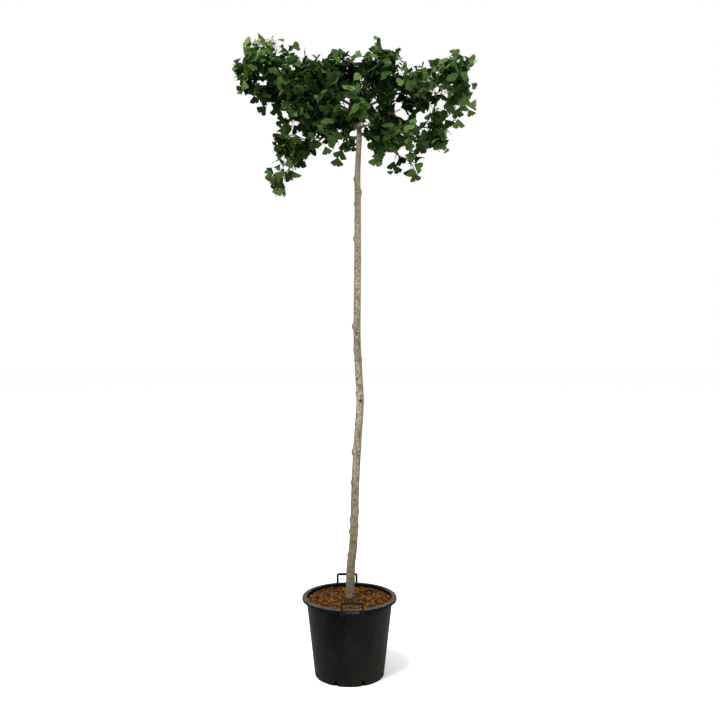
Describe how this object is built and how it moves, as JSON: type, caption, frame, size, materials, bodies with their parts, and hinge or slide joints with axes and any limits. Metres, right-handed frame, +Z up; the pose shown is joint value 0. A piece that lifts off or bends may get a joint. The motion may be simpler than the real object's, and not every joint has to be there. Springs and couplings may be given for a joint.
{
  "type": "potted ginkgo tree",
  "caption": "Young grafted ginkgo: a tall bare stem under a wide, open crown of fan-shaped leaves, in a round nursery pot with a carrying handle at front and back.",
  "frame": {"origin": "centre of the pot's flat underside, on the ground that the pot stands on", "axes": "+Z up along the stem; +X towards the right of the crown as seen from the front, the way the stem leans; -Y towards the viewer, where the outward-leaning handle is; +Y towards the upright handle"},
  "size_m": [1.142, 1.0682, 3.0219],
  "materials": {
    "pot_plastic": "charcoal injection-moulded plastic, dusty, with a scuffed paler rim",
    "handle_plastic": "smooth dark plastic bar",
    "bark_substrate": "loose, matt bark and coir chips",
    "trunk_bark": "grey-brown bark with fine diagonal fissures and healed knots",
    "bough_bark": "smoother young bark",
    "leaf_green": "matt fan-shaped leaves, dark and mid green"
  },
  "bodies": {
    "root": {"pot": "pot_plastic", "handle_back": "handle_plastic", "handle_front": "handle_plastic", "soil": "bark_substrate", "trunk": "trunk_bark", "bough_left_high": "bough_bark", "bough_left_front": "bough_bark", "bough_left_low": "bough_bark", "bough_left_hanging": "bough_bark", "bough_left_back": "bough_bark", "bough_top": "bough_bark", "bough_top_left": "bough_bark", "bough_front": "bough_bark", "bough_back": "bough_bark", "bough_middle_left": "bough_bark", "bough_right_front": "bough_bark", "bough_right_back": "bough_bark", "bough_right_high": "bough_bark", "bough_right_mid": "bough_bark", "bough_right_low": "bough_bark", "bough_right_hanging": "bough_bark", "foliage_left_high": "leaf_green", "foliage_left_front": "leaf_green", "foliage_left_low": "leaf_green", "foliage_left_hanging": "leaf_green", "foliage_left_back": "leaf_green", "foliage_top": "leaf_green", "foliage_top_left": "leaf_green", "foliage_front": "leaf_green", "foliage_back": "leaf_green", "foliage_middle_left": "leaf_green", "foliage_right_front": "leaf_green", "foliage_right_back": "leaf_green", "foliage_right_high": "leaf_green", "foliage_right_mid": "leaf_green", "foliage_right_low": "leaf_green", "foliage_right_hanging": "leaf_green"}
  },
  "joints": []
}
